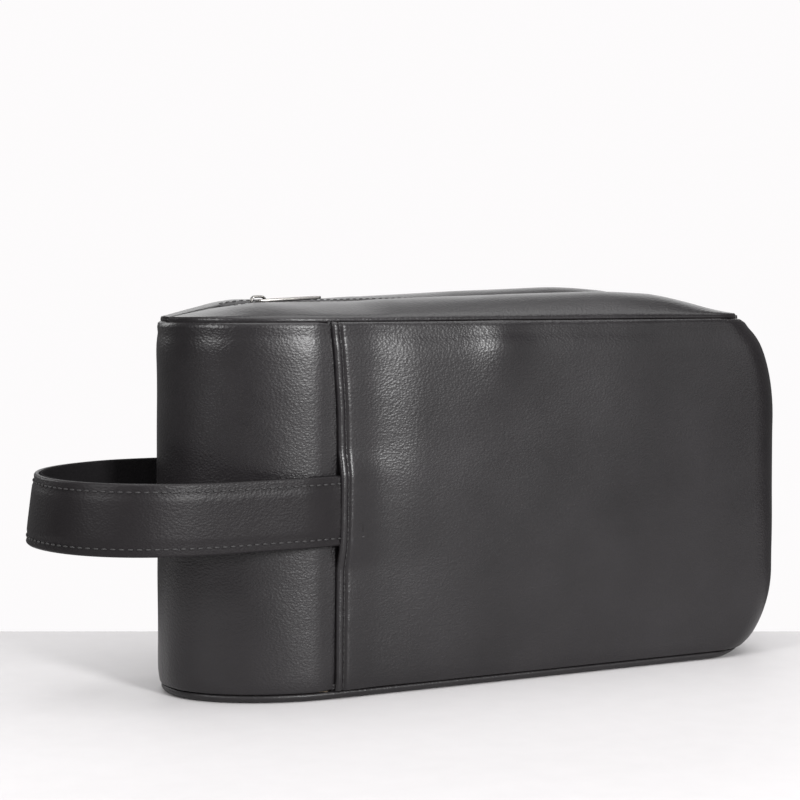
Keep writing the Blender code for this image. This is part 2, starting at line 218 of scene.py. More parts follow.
# %% [markdown]
# ## Suede, cloth, thread and metal
# Suede, thread, metal, nylon, foam and board differ in colour, shine and grain, but all
# show fine flecks, so one function makes them. The metal's are stretched like polishing
# marks. The lining and the tape are woven: two crossed waves at the yarn's pitch.

# %% Other finishes
def flecked(name, dark, light, scale, relief, roughness, *, detail=3.0, rough=0.6,
            uneven=0.0, metallic=0.0, specular=0.5):
    """Flecks of two shades in relief. With three scales, one for each axis, they stretch."""
    made, tree, shader, place = start_material(name, roughness, metallic, specular)
    if isinstance(scale, tuple):
        place = stretched(tree, place, scale)
        scale = 1.0
    flecks = noise_value(tree, place, scale, detail, rough)
    varied(tree, shader, "Base Color", mixed(tree, flecks, dark, light))
    if uneven:
        varied(tree, shader, "Roughness", flecks * uneven + (roughness - uneven / 2))
    if relief:
        bumped(tree, shader, flecks, relief)
    return made


def woven(name, dark, light, yarn, roughness):
    """Cloth whose crossed yarns repeat at the given length."""
    made, tree, shader, place = start_material(name, roughness, specular=0.25)
    split = add(tree, "ShaderNodeSeparateXYZ", {"Vector": place})
    x, y, z = (Value(tree, split.outputs[i]) for i in range(3))
    turn = 2 * math.pi / yarn
    warp = ((x + y) * turn).math("SINE")
    weft = ((z + (x - y) * 0.5) * turn).math("SINE")
    weave = warp * weft * 0.5 + 0.5
    slub = noise_value(tree, place, 300.0, 3.0, 0.6)
    share = weave * 0.6 + slub * 0.4
    varied(tree, shader, "Base Color", mixed(tree, share, dark, light))
    bumped(tree, shader, share, 0.12 * MM)
    return made


strap_suede = flecked("strap suede", (0.003, 0.0028, 0.003, 1), (0.014, 0.013, 0.014, 1),
                      1500.0, 0.4 * MM, 0.95, detail=4.0, rough=0.7, specular=0.05)
lining_cloth = woven("lining cloth", (0.012, 0.012, 0.014, 1), (0.040, 0.040, 0.045, 1),
                     yarn=0.7 * MM, roughness=0.75)
tape_cloth = woven("zip tape cloth", (0.006, 0.006, 0.007, 1), (0.024, 0.024, 0.026, 1),
                   yarn=0.9 * MM, roughness=0.85)
spun = {"scale": 2600.0, "relief": 0.1 * MM, "roughness": 0.6, "detail": 2.0, "rough": 0.5,
        "specular": 0.4}
seam_thread = flecked("seam thread", (0.006, 0.0055, 0.006, 1), (0.030, 0.028, 0.029, 1), **spun)
# The strap's stitches take the seam's thread painted lighter: painted light standing in for the
# light that falls on them.
strap_thread_painted_lighter = flecked("strap thread painted lighter", (0.010, 0.0095, 0.010, 1), (0.032, 0.030, 0.031, 1),
                       **spun)
bright_metal = flecked("bright plating", (0.11, 0.104, 0.10, 1), (0.27, 0.26, 0.25, 1),
                       (500.0, 2600.0, 900.0), 0.03 * MM, 0.345, uneven=0.25, metallic=1.0)
tooth_nylon = flecked("tooth nylon", (0.010, 0.010, 0.011, 1), (0.030, 0.030, 0.032, 1),
                      900.0, 0.05 * MM, 0.35, uneven=0.2)
foam_skin = flecked("foam", (0.24, 0.24, 0.25, 1), (0.34, 0.34, 0.35, 1),
                    1400.0, 0.05 * MM, 0.95, uneven=0.2)
fibre_board = flecked("fibre board", (0.26, 0.20, 0.14, 1), (0.42, 0.34, 0.25, 1),
                      700.0, 0.05 * MM, 0.9, uneven=0.2)
print("materials", len(bpy.data.materials))

# %% [markdown]
# ## Making meshes
# Every sewn piece here is a grid of points on a curved surface. One helper joins the
# grid into faces and another gives it the leather's thickness, which closes the piece.

# %% Mesh helpers
def finish_mesh(name, mesh, mat):
    made = bpy.data.objects.new(name, mesh)
    bpy.context.scene.collection.objects.link(made)
    mesh.materials.clear()
    mesh.materials.append(mat)
    return made


def grid_mesh(name, rows, mat, closed=False):
    mesh = bpy.data.meshes.new(name)
    bm = bmesh.new()
    grid = [[bm.verts.new(point) for point in row] for row in rows]
    steps = len(grid[0]) - (0 if closed else 1)
    for lower, upper in zip(grid, grid[1:]):
        for i in range(steps):
            j = (i + 1) % len(lower)
            bm.faces.new([lower[i], lower[j], upper[j], upper[i]])
    bm.to_mesh(mesh)
    bm.free()
    mesh.shade_smooth()
    return finish_mesh(name, mesh, mat)


def edited(made, close_ends=False, weld=False):
    """Turns a closed piece's faces outwards, after welding it or filling its open ends."""
    bm = bmesh.new()
    bm.from_mesh(made.data)
    if weld:
        bmesh.ops.remove_doubles(bm, verts=bm.verts, dist=0.00001)
    if close_ends:
        rims = [edge for edge in bm.edges if edge.is_boundary]
        bmesh.ops.holes_fill(bm, edges=rims, sides=0)
    bmesh.ops.recalc_face_normals(bm, faces=bm.faces)
    bm.to_mesh(made.data)
    bm.free()
    return made


def applied(made):
    """The same piece with its modifiers applied, as a plain mesh at the origin."""
    graph = bpy.context.evaluated_depsgraph_get()
    mesh = bpy.data.meshes.new_from_object(made.evaluated_get(graph))
    mesh.transform(made.matrix_world)
    mats = list(made.data.materials)
    name = made.name
    bpy.data.objects.remove(made, do_unlink=True)
    result = bpy.data.objects.new(name, mesh)
    bpy.context.scene.collection.objects.link(result)
    if not mesh.materials and mats:
        mesh.materials.append(mats[0])
    return result


def thickened(made, thickness):
    """Turns the faces away from the bag's middle, then adds the thickness behind them."""
    middle = Vector((0, 0, TOP / 2))
    facing = sum(f.area * f.normal.dot(f.center - middle) for f in made.data.polygons)
    if facing < 0:
        print(made.name, "faces turned outwards")
        made.data.flip_normals()
    step = made.modifiers.new("Leather thickness", "SOLIDIFY")
    step.thickness = thickness
    step.offset = -1
    return applied(made)


def spread(start, end, steps):
    """Evenly spaced values, both ends included."""
    return [start + (end - start) * i / steps for i in range(steps + 1)]


def rise(value, start, span):
    """A share that grows from 0 to 1 over a span, and holds beyond it."""
    return min(max((value - start) / span, 0.0), 1.0)


def smooth(share):
    return share * share * (3 - 2 * share)


def mirrored(points):
    return [Vector((p.x, -p.y, p.z)) for p in points]


def bell(distance, width):
    """1 in the middle, fading to nothing on both sides."""
    return math.exp(-(distance / width) ** 2)


print("rise", rise(3, 2, 4), "smooth", smooth(0.25), "bell", round(bell(1, 1), 3))

# %% [markdown]
# ## The walls' shape
# From above the bag is a straight-sided box with a rounded left end. The right end
# leans in towards the top and the foot. The walls draw in below the top seam and at the
# foot, and the vertical seams bow. A formula gives a point of this outline at any height.

# %% Wall shape
# Pairs say how far a part of the wall moves and over what height.
CORNER = 18 * MM
TOP_DOME = (17 * MM, 42 * MM)
FOOT_DOME = (21 * MM, 34 * MM)
DOME_SHARE = 0.97
FOOT = 3.0 * MM
SHOULDER = (1.6 * MM, 13 * MM)
FLARE = (0.8 * MM, 3.2 * MM)
FLARE_BELOW = 4.5 * MM
FOOT_TUCK = (1.5 * MM, 9 * MM)
SEAM_BOW = 1.9 * MM
SEAM_TURN = 1.2 * MM


def dome(share):
    return 1 - math.sqrt(1 - (DOME_SHARE * share) ** 2)


def right_end(z):
    top = TOP_DOME[0] * dome(rise(z, TOP - TOP_DOME[1], TOP_DOME[1])) / dome(1.0)
    foot = FOOT_DOME[0] * dome(1 - rise(z, 0, FOOT_DOME[1])) / dome(1.0)
    return RIGHT - top - foot


def draw_in(z):
    """The walls draw in near the top seam and the foot, and the seam itself stands out."""
    shoulder = SHOULDER[0] * rise(z, TOP - SHOULDER[1], SHOULDER[1]) ** 2
    flare = FLARE[0] * smooth(rise(z, TOP - FLARE_BELOW, FLARE[1]))
    foot = FOOT_TUCK[0] * (1 - rise(z, 0, FOOT_TUCK[1])) ** 2
    return shoulder - flare + foot


def seam_line(z):
    """Where the vertical seam is along the bag, at a height: it bows to the right."""
    share = rise(z, 0, TOP)
    return SEAM_X + SEAM_BOW * math.sin(math.pi * share ** 1.6) - SEAM_TURN * share


def outline(way, z):
    """A point of the front half of the outline: 0 to 1 round the rounded end, 1 to 2
    along the front, 2 to 3 round the right corner, 3 to 4 to the end's middle."""
    inset = draw_in(z)
    half = HALF - inset
    end = right_end(z) - inset
    if way <= 1:
        turn = way * math.pi / 2
        x = SEAM_X - (NOSE - inset) * math.cos(turn)
        return Vector((x, -half * math.sin(turn), z))
    if way <= 2:
        return Vector((SEAM_X + (end - CORNER - SEAM_X) * (way - 1), -half, z))
    if way <= 3:
        turn = (way - 2) * math.pi / 2
        x = end - CORNER + CORNER * math.sin(turn)
        return Vector((x, -half + CORNER - CORNER * math.cos(turn), z))
    return Vector((end, (-half + CORNER) * (4 - way), z))


def outward(way, z):
    """The wall's direction outwards, from two short steps along and up the outline."""
    along_step = 0.002
    up_step = 0.5 * MM
    along = outline(way + along_step, z) - outline(way - along_step, z)
    up = outline(way, z + up_step) - outline(way, z - up_step)
    return along.cross(up).normalized()


print("right end at the foot, middle and top", [round(right_end(z), 4) for z in (0, TOP / 2, TOP)])

# %% [markdown]
# ## The walls' swell
# Foam behind the leather pushes it out between the seams. The belly, the bump where the
# strap is sewn in and one soft lump below the top seam are smooth formulas, and noise
# adds the slow unevenness of real hide. A cloth simulation would move the seams too.

# %% Swell of the walls
BELLY = 3.0 * MM
BELLY_FROM = 30 * MM
BELLY_STEEP = (12 * MM, 22 * MM)
BELLY_GENTLE = (3 * MM, 60 * MM)
BELLY_STEEP_ABOVE = (38 * MM, 45 * MM)
STRAP_BUMP = 2.5 * MM
STRAP_BUMP_HEIGHT = (11 * MM, 12 * MM)
STRAP_BUMP_LENGTH = 15 * MM
LUMP = 1.5 * MM
LUMP_AT = (68 * MM, 126 * MM)
LUMP_SIZE = (9 * MM, 13 * MM)
SLOW_WAVE = (17.0, 1.0 * MM)
QUICK_WAVE = (46.0, 0.28 * MM)


def wander(point, side):
    """Unevenness of soft leather, different on the two faces."""
    seed = Vector((0.0, 7.3 * side, 0.0))
    slow = noise.noise(point * SLOW_WAVE[0] + seed)
    quick = noise.noise(point * QUICK_WAVE[0] + seed)
    return SLOW_WAVE[1] * slow + QUICK_WAVE[1] * quick


def swell(way, z, x):
    """How far the wall stands out of its pattern."""
    if way <= 1:
        return 0.0
    up = math.sin(math.pi * rise(z, 0, TOP)) ** 0.8
    distance = x - SEAM_X
    steep = smooth(rise(distance, *BELLY_STEEP))
    gentle = smooth(rise(distance, *BELLY_GENTLE))
    upper = smooth(rise(z, *BELLY_STEEP_ABOVE))
    from_seam = gentle + (steep - gentle) * upper
    along = from_seam * (1 - rise(x, BELLY_FROM, RIGHT - BELLY_FROM) ** 2)
    near = 1 - smooth(rise(abs(z - STRAP_Z), *STRAP_BUMP_HEIGHT))
    beside = bell(max(distance, 0.0), STRAP_BUMP_LENGTH)
    across = (distance - LUMP_AT[0]) / LUMP_SIZE[0]
    above = (z - LUMP_AT[1]) / LUMP_SIZE[1]
    lump = LUMP * math.exp(-across ** 2 - above ** 2)
    return BELLY * up * along + STRAP_BUMP * near * beside + lump


def wall_point(way, z, inset=0.0, side=1):
    """A point of the finished wall, or behind it by the inset."""
    base = outline(way, z)
    fade = rise(z, 0, 10 * MM) * rise(TOP - z, 0, 8 * MM)
    move = swell(way, z, base.x) + wander(base, side) * fade
    point = base + outward(way, z) * (move - inset)
    return Vector((point.x, point.y * side, point.z))


print("belly at mid-height", round(swell(1.5, TOP / 2, 0.0) * 1000, 2), "mm")

# %% [markdown]
# ## Turned edges
# A leather edge is folded under before it is sewn, so its rim is round and as thick as
# two layers. The same list of steps, half a circle and a short run under, makes every
# such edge, and it gives the rows of all the walls from foot to top seam.

# %% Turned edges
EDGE_RADIUS = 1.0 * MM
TOP_EDGE_RADIUS = 1.1 * MM
UNDER = 1.6 * MM


def rolled(distances, radius, under):
    """Steps across a turned edge: (distance along the face, depth) from the edge in."""
    steps = [(radius + under * share, 2 * radius) for share in (1.0, 0.5)]
    for turn in spread(180, 20, 7):
        angle = math.radians(turn)
        steps.append((radius - radius * math.sin(angle), radius - radius * math.cos(angle)))
    steps += [(radius + distance, 0.0) for distance in distances]
    return steps


heights = [(z, 0.0) for z in spread(FOOT + 1.2 * MM, TOP - 2.2 * MM, 62)]
bottom_roll = [(FOOT + along, depth) for along, depth in rolled([], EDGE_RADIUS, UNDER)]
top_roll = [(TOP - along, depth) for along, depth in rolled([], TOP_EDGE_RADIUS, UNDER)]
WALL_ROWS = bottom_roll + heights + top_roll[::-1]
print("rows up a wall", len(WALL_ROWS))

# %% [markdown]
# ## The end panel
# One piece of leather goes round the left end and tucks under the edges of the
# front and back panels. It is made as a loft: at each height, points go round the
# rounded end, and at both sides they dip inwards where the other panels lap over.

# %% End panel
LEATHER = 1.0 * MM
LAP = 4.0 * MM
DIP = 1.1 * MM


def end_row(z, depth):
    points = []
    for way in spread(0, 1, 34):
        dip = DIP * smooth(rise(way, 0.90, 0.10))
        points.append(wall_point(way, z, depth + dip))
    reach = seam_line(z) + LAP - SEAM_X
    tucked = wall_point(1.0, z, depth + DIP)
    points += [tucked + Vector((reach * share, 0, 0)) for share in (0.25, 0.5, 0.75, 1.0)]
    return mirrored(points[:0:-1]) + points


end_rows = [end_row(z, depth) for z, depth in WALL_ROWS]
end_piece = thickened(grid_mesh("end_panel_leather", end_rows, body_leather), LEATHER)
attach(end_piece, "root")
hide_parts("end_panel")
print("end panel faces", len(end_piece.data.polygons))

# %% [markdown]
# ## The front and back panels
# Each is folded under along the vertical seam, and the fold stands proud of the end
# panel. The same turned edge runs along the top, the foot and the middle of the right
# end, so a panel is one grid whose border steps roll inwards.

# %% Front and back panels
SIDES = (("front", 1), ("back", -1))
FOLD = 1.25 * MM
PROUD = 0.9 * MM
PROUD_FALL = (3 * MM, 14 * MM)
VALLEY = (0.9 * MM, 0.65 * MM)
GATHER = 0.32 * MM
SEAM_FLAT = [step * MM for step in (0.6, 1.0, 1.4, 1.75, 2.1, 2.5, 3.1, 4.0, 5.2, 6.8, 9)]
SEAM_STEPS = rolled(SEAM_FLAT, FOLD, 2.5 * MM)
STITCH_IN = 3.0 * MM


def near_seam(distance):
    """The fold is proud of the wall, with a shallow valley along its stitches."""
    valley = VALLEY[0] * bell(distance - STITCH_IN, VALLEY[1])
    return PROUD * (1 - smooth(rise(distance, *PROUD_FALL))) - valley


def pucker(z, distance):
    """Small gathers that the stitches pull into the leather beside the seam."""
    reach = bell(max(distance - 1 * MM, 0), 4.5 * MM)
    wave = noise.noise(Vector((distance * 90.0, 3.0, z * 330.0)))
    return GATHER * wave * reach


def face_row(z, depth, side):
    points = []
    start = seam_line(z)
    flat_end = outline(2.0, z).x
    normal = Vector((0, -1, 0))
    for along, deep in SEAM_STEPS:
        x = start + along
        way = 1 + (x - SEAM_X) / (flat_end - SEAM_X)
        raised = near_seam(along) + pucker(z, along)
        point = wall_point(way, z, depth) + normal * (raised - deep)
        points.append(Vector((x, point.y, point.z)))
    last = start + SEAM_STEPS[-1][0]
    first_way = 1 + (last - SEAM_X) / (flat_end - SEAM_X)
    for way in spread(first_way, 2.0, 56)[1:]:
        raised = near_seam((way - first_way) * (flat_end - SEAM_X) + SEAM_STEPS[-1][0])
        points.append(wall_point(way, z, depth) + normal * raised)
    points += [wall_point(way, z, depth) for way in spread(2, 3, 16)[1:]]
    span = -wall_point(3.0, z, 0).y
    for along, deep in rolled([], EDGE_RADIUS, UNDER)[::-1]:
        points.append(wall_point(4 - along / span, z, depth + deep))
    return [Vector((p.x, side * min(p.y, -0.05 * MM), p.z)) for p in points]


def face_panel(name, side):
    rows = [face_row(z, depth, side) for z, depth in WALL_ROWS]
    if side < 0:
        rows = [row[::-1] for row in rows]
    made = thickened(grid_mesh(name + "_leather", rows, body_leather), LEATHER)
    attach(made, "root")
    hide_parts(name)
    return made


for word, side in SIDES:
    print(word, "panel faces", len(face_panel(word + "_panel", side).data.polygons))

# %% [markdown]
# ## The base
# The base leather turns up a few millimetres all round, where it is sewn to the walls,
# so its edge shows as a thin rolled line just above the table. Its rim is a loft
# of the same outline, and the underside is closed with a flat face.

# %% Base
# Height and inset of the rim's section, in millimetres, from the underside to the inside.
RIM_SECTION = [(0.0, 2.6), (0.12, 1.5), (0.5, 0.7), (1.1, 0.25), (1.8, 0.1), (2.4, 0.25),
               (2.9, 0.8), (3.0, 1.6), (2.7, 2.6), (1.4, 2.9)]


def ring(z, inset):
    """The wall's whole outline at one height, laid level."""
    ways = spread(0, 1, 30) + spread(1, 2, 30)[1:] + spread(2, 3, 12)[1:] + spread(3, 4, 5)[1:]
    front = [wall_point(way, z, inset) for way in ways]
    return [Vector((p.x, p.y, z)) for p in front + mirrored(front[-2:0:-1])]


rows = [ring(height * MM, inset * MM) for height, inset in RIM_SECTION]
base = edited(grid_mesh("base_leather", rows, edge_leather, closed=True), close_ends=True)
base.data.set_sharp_from_angle(angle=math.radians(50))
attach(base, "root")
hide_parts("base_panel")
print("base faces", len(base.data.polygons))

# %% [markdown]
# ## The top strips
# Two leather strips lie either side of the zip. Each is turned under along the wall and
# along the zip, and swells between. A row of points runs across the strip at each place
# along the bag, and the rows join into one surface.

# %% Top strips
STRIP_ROLL = 1.15 * MM
PRESSED = 0.7 * MM
EDGE_TOP = TOP + 2 * STRIP_ROLL - PRESSED
ZIP_EDGE = TAPE_TOP + 2.8 * MM
CREST_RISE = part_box("front_top_strip")[1][2] + 0.8 * MM - EDGE_TOP
CREST_AT = 45 * MM
LEFT_SLOPE = -41 * MM
ZIP_GAP = 4.6 * MM
NOSE_SLOPE = 7 * MM
END_SLOPE = 18 * MM
STRIP_ACROSS = rolled([], STRIP_ROLL, 1.5 * MM)


def strip_width(x):
    if x < SEAM_X:
        share = min((SEAM_X - x) / (NOSE - SHOULDER[0]), 1.0)
        return (HALF - SHOULDER[0]) * math.sqrt(max(1 - share * share, 0.0))
    if x > TOP_RIGHT - CORNER:
        turn = min((x - TOP_RIGHT + CORNER) / CORNER, 1.0)
        width = HALF - CORNER + CORNER * math.sqrt(1 - turn * turn)
    else:
        width = HALF
    return width - SHOULDER[0]


def strip_gap(x):
    past = max(ZIP_LEFT - x, x - ZIP_RIGHT, 0.0)
    closed = smooth(rise(past, 0, 9 * MM))
    return ZIP_GAP * (1 - closed)


def strip_height(x, share, side):
    """The crown of a strip; its share is 0 at the wall and 1 at the zip."""
    left_fall = rise(ZIP_LEFT + NOSE_SLOPE - x, 0, ZIP_LEFT + NOSE_SLOPE - LEFT - 4 * MM)
    right_fall = rise(x, ZIP_RIGHT - END_SLOPE, TOP_RIGHT - ZIP_RIGHT + END_SLOPE)
    ends = 1 - max(left_fall ** 1.3, right_fall ** 1.6)
    lift = ZIP_EDGE - EDGE_TOP
    crown = CREST_RISE - 0.75 * lift
    left = rise(CREST_AT - x, 0, CREST_AT - LEFT_SLOPE) ** 1.2
    beyond = smooth(rise(LEFT_SLOPE - x, 0, 20 * MM))
    right = rise(x, CREST_AT, TOP_RIGHT - CREST_AT)
    crown *= (1 - 0.58 * left) * (1 - (0.9 if side > 0 else 0.35) * beyond)
    crown *= (1 - right ** 1.7) * (0.74 if side > 0 else 1.0)
    rising = lift * (1 - (1 - share) ** 2)
    uneven = 0.5 * MM * noise.noise(Vector((x * 28.0, share * 1.5, 5.0 * side))) * share
    return EDGE_TOP + (rising + crown * 4 * share * (1 - share) + uneven) * ends


def strip_row(x, side):
    outer = strip_width(x)
    inner = strip_gap(x)
    span = max(outer - inner, 0.6 * MM)
    scale = min(span / (6 * MM), 1.0)
    points = []
    for along, deep in STRIP_ACROSS:
        share = along * scale / span
        points.append((outer - along * scale, strip_height(x, share, side) - deep * scale))
    for share in spread(0, 1, 26)[2:-2]:
        points.append((outer - span * share, strip_height(x, share, side)))
    for along, deep in STRIP_ACROSS[::-1]:
        share = 1 - along * scale / span
        points.append((inner + along * scale, strip_height(x, share, side) - deep * scale))
    return [Vector((x, -side * y, z)) for y, z in points]


def strip_end(side):
    """The right end turns down and under, like the strip's long edges."""
    last = strip_row(TOP_RIGHT - STRIP_ROLL, side)
    rows = [last]
    for turn in spread(20, 180, 8):
        angle = math.radians(turn)
        level = EDGE_TOP - STRIP_ROLL * (1 - math.cos(angle))
        out = STRIP_ROLL * math.sin(angle)
        rows.append([Vector((p.x + out, p.y, min(p.z, level))) for p in last])
    rows.append([p - Vector((1.5 * MM, 0, 0)) for p in rows[-1]])
    return rows


strip_places = [LEFT + step * MM for step in (1.62, 1.8, 2.2, 3, 4.2, 6, 8.5)]
strip_places += spread(LEFT + 11 * MM, MOUTH_MIDDLE, 60)
strip_places += spread(MOUTH_MIDDLE, TOP_RIGHT - 8 * MM, 60)[1:]
strip_places += [TOP_RIGHT - step * MM for step in (6, 4.4, 3.2, 2.2, 1.5)]
print("rows along a strip", len(strip_places))

# %% [markdown]
# ## Cutting the top
# On the real bag each strip is one piece that flexes when the zip opens. Here its mesh
# is cut in two at the mouth's middle, and neither half is bent. The shading is kept from
# the whole strip, so that the cut doesn't show.

# %% Make the strips
def halves(made, names):
    """Cuts a piece at the mouth's middle, keeping its shading across the cut."""
    mesh = made.data
    normals = [Vector(n.vector) for n in mesh.vertex_normals]
    results = []
    for name, keep_left in names:
        bm = bmesh.new()
        bm.from_mesh(mesh)
        bm.verts.ensure_lookup_table()
        tag = bm.verts.layers.int.new("from")
        for vert in bm.verts:
            vert[tag] = vert.index
        gone = []
        for face in bm.faces:
            middle = face.calc_center_median().x
            if (middle < MOUTH_MIDDLE) != keep_left:
                gone.append(face)
        bmesh.ops.delete(bm, geom=gone, context="FACES")
        order = [vert[tag] for vert in bm.verts]
        bm.verts.layers.int.remove(tag)
        half = bpy.data.meshes.new(name)
        bm.to_mesh(half)
        bm.free()
        half.normals_split_custom_set_from_vertices([normals[i] for i in order])
        results.append(finish_mesh(name, half, mesh.materials[0]))
    bpy.data.objects.remove(made, do_unlink=True)
    return results


def bend_open(made, flap):
    """Bakes a piece's place into its mesh; the piece is not bent."""
    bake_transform(made)


for word, side in SIDES:
    rows = [strip_row(x, side) for x in strip_places] + strip_end(side)
    if side < 0:
        rows = [row[::-1] for row in rows]
    whole = thickened(grid_mesh(word + "_strip", rows, body_leather), 0.8 * MM)
    names = ((word + "_strip_left", True), (word + "_strip_right", False))
    for made, left in zip(halves(whole, names), (True, False)):
        bend_open(made, word + "_flap")
        nodes = [word + "_top_strip_left", word + "_top_strip"] if left else [
            word + "_top_strip_right"]
        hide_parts(*nodes)
        print(made.name, "faces", len(made.data.polygons))

# %% [markdown]
# ## Geometry Nodes for stitches and teeth
# A seam is one stitch repeated along a line and a zip is one tooth repeated at a pitch,
# so each is a small node tree with its sizes as named inputs. The copies are realized
# and turned into a plain mesh, because only real geometry is kept. These helpers make an
# empty tree, end one, and run one on a piece.

# %% Node tree helpers
def new_tree(name, **inputs):
    tree = bpy.data.node_groups.new(name, "GeometryNodeTree")
    tree.interface.new_socket(name="Geometry", in_out="INPUT", socket_type="NodeSocketGeometry")
    for label, kind in inputs.items():
        tree.interface.new_socket(name=label, in_out="INPUT", socket_type="NodeSocket" + kind)
    tree.interface.new_socket(name="Geometry", in_out="OUTPUT", socket_type="NodeSocketGeometry")
    return tree, tree.nodes.new("NodeGroupInput"), tree.nodes.new("NodeGroupOutput")


def run_tree(made, tree, values):
    """Adds the tree to a piece, sets its inputs by identifier and applies it."""
    step = made.modifiers.new(tree.name, "NODES")
    step.node_group = tree
    for item in tree.interface.items_tree:
        if item.item_type == "SOCKET" and item.in_out == "INPUT" and item.name in values:
            step[item.identifier] = values[item.name]
    return applied(made)


def copied(tree, into, out, values, soften):
    """Ends a tree: a piece is copied to points, made real and given its material."""
    made = add(tree, "GeometryNodeInstanceOnPoints", values)
    made = add(tree, "GeometryNodeRealizeInstances", {"Geometry": made})
    if soften:
        made = add(tree, "GeometryNodeSetShadeSmooth", {"Geometry": made})
    dye = {"Geometry": made, "Material": into.outputs["Material"]}
    made = add(tree, "GeometryNodeSetMaterial", dye)
    tree.links.new(made.outputs[0], out.inputs[0])
    return tree

# %% [markdown]
# ## Stitches
# A stitch is a short bead of thread lying along the seam. A ball, stretched to the
# stitch's length, is copied along a curve at the stitch pitch and turned to follow it.

# %% Stitch rows
def stitch_tree():
    tree, into, out = new_tree("stitch row", Pitch="Float", Length="Float", Width="Float",
                               Material="Material")
    line = {"Curve": into.outputs["Geometry"], "Length": into.outputs["Pitch"]}
    points = add(tree, "GeometryNodeResampleCurve", line, mode="LENGTH")
    bead = add(tree, "GeometryNodeMeshUVSphere", {"Segments": 8, "Rings": 5, "Radius": 0.5})
    length, width = (into.outputs[name] for name in ("Length", "Width"))
    size = add(tree, "ShaderNodeCombineXYZ", {"X": length, "Y": width, "Z": width})
    tangent = add(tree, "GeometryNodeInputTangent")
    turn = add(tree, "FunctionNodeAlignRotationToVector", {"Vector": tangent}, axis="X")
    placed = {"Points": points, "Instance": bead, "Rotation": turn, "Scale": size}
    return copied(tree, into, out, placed, soften=True)


STITCHES = stitch_tree()


def stitch_row(name, lines, pitch, length=2.1 * MM, width=0.62 * MM, mat=seam_thread):
    """Stitches along one or more lines of points."""
    curve = bpy.data.curves.new(name, "CURVE")
    curve.dimensions = "3D"
    for points in lines:
        line = curve.splines.new("POLY")
        line.points.add(len(points) - 1)
        for target, point in zip(line.points, points):
            target.co = (*point, 1)
    made = bpy.data.objects.new(name, curve)
    bpy.context.scene.collection.objects.link(made)
    values = {"Pitch": pitch, "Length": length, "Width": width, "Material": mat}
    return run_tree(made, STITCHES, values)


print("stitch tree nodes", len(STITCHES.nodes))

# %% [markdown]
# ## Stitches of the body
# A row of stitches holds each fold of the front and back panels, a few millimetres in
# from its edge. Finer rows run along both strips beside the zip.

# %% Body stitches
ZIP_STITCH_IN = 2.6 * MM


def seam_points(side):
    points = []
    for z in spread(FOOT + 2 * MM, TOP - 2.5 * MM, 60):
        x = seam_line(z) + STITCH_IN
        way = 1 + (x - SEAM_X) / (outline(2.0, z).x - SEAM_X)
        raised = near_seam(STITCH_IN) + pucker(z, STITCH_IN) + 0.05 * MM
        p = wall_point(way, z, 0)
        points.append(Vector((p.x, side * (p.y - raised), p.z)))
    return points


body_stitches = stitch_row("seam_stitches", [seam_points(1), seam_points(-1)], 3.1 * MM)
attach(body_stitches, "root")
print("seam stitch faces", len(body_stitches.data.polygons))

for word, side in SIDES:
    for end_word, low, high in (("left", ZIP_LEFT - 2 * MM, MOUTH_MIDDLE),
                                ("right", MOUTH_MIDDLE, ZIP_RIGHT + 2 * MM)):
        points = []
        for x in spread(low + 1 * MM, high - 1 * MM, 50):
            y = strip_gap(x) + ZIP_STITCH_IN
            share = 1 - ZIP_STITCH_IN / (strip_width(x) - strip_gap(x))
            points.append(Vector((x, -side * y, strip_height(x, share, side) + 0.02 * MM)))
        name = word + "_zip_stitches_" + end_word
        made = stitch_row(name, [points], 2.7 * MM, 1.8 * MM, 0.45 * MM)
        bend_open(made, word + "_flap")

# %% [markdown]
# ## The zip
# Two woven tapes carry nylon teeth that interlock along the middle. Each tooth is a
# shank with a wider head. Tape and teeth are made in left and right halves, cut at the
# mouth's middle like their strip, and are not bent.

# %% Zip
def tooth_tree():
    tree, into, out = new_tree("zip teeth", Count="Int", Pitch="Float", Start="Vector",
                               Facing="Float", Material="Material")
    step = add(tree, "ShaderNodeCombineXYZ", {"X": into.outputs["Pitch"]})
    row = {"Count": into.outputs["Count"], "Start Location": into.outputs["Start"], "Offset": step}
    line = add(tree, "GeometryNodeMeshLine", row)
    shank = add(tree, "GeometryNodeMeshCube", {"Size": (0.85 * MM, 2.6 * MM, 1.7 * MM)})
    head = add(tree, "GeometryNodeMeshCube", {"Size": (1.25 * MM, 1.0 * MM, 1.9 * MM)})
    move = {"Geometry": head, "Translation": (0, 1.2 * MM, 0)}
    moved = add(tree, "GeometryNodeTransform", move)
    both = tree.nodes.new("GeometryNodeJoinGeometry")
    for part in (shank, moved):
        tree.links.new(part.outputs[0], both.inputs[0])
    size = add(tree, "ShaderNodeCombineXYZ", {"X": 1.0, "Y": into.outputs["Facing"], "Z": 1.0})
    return copied(tree, into, out, {"Points": line, "Instance": both, "Scale": size}, soften=False)


TEETH = tooth_tree()
TOOTH_PITCH = 2.6 * MM
TEETH_LOW, TEETH_HIGH = (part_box("front_zip_teeth")[i][2] for i in (0, 1))
TOOTH_Z = (TEETH_LOW + TEETH_HIGH) / 2


def tooth_row(name, side, low, high):
    holder = finish_mesh(name, bpy.data.meshes.new(name), tooth_nylon)
    shift = 0.0 if side > 0 else TOOTH_PITCH / 2
    first = math.ceil((low - ZIP_LEFT - shift) / TOOTH_PITCH)
    start = ZIP_LEFT + shift + first * TOOTH_PITCH
    count = int((high - start) / TOOTH_PITCH) + 1
    values = {"Count": count, "Pitch": TOOTH_PITCH, "Start": (start, -side * 1.25 * MM, TOOTH_Z),
              "Facing": float(side), "Material": tooth_nylon}
    return edited(run_tree(holder, TEETH, values))


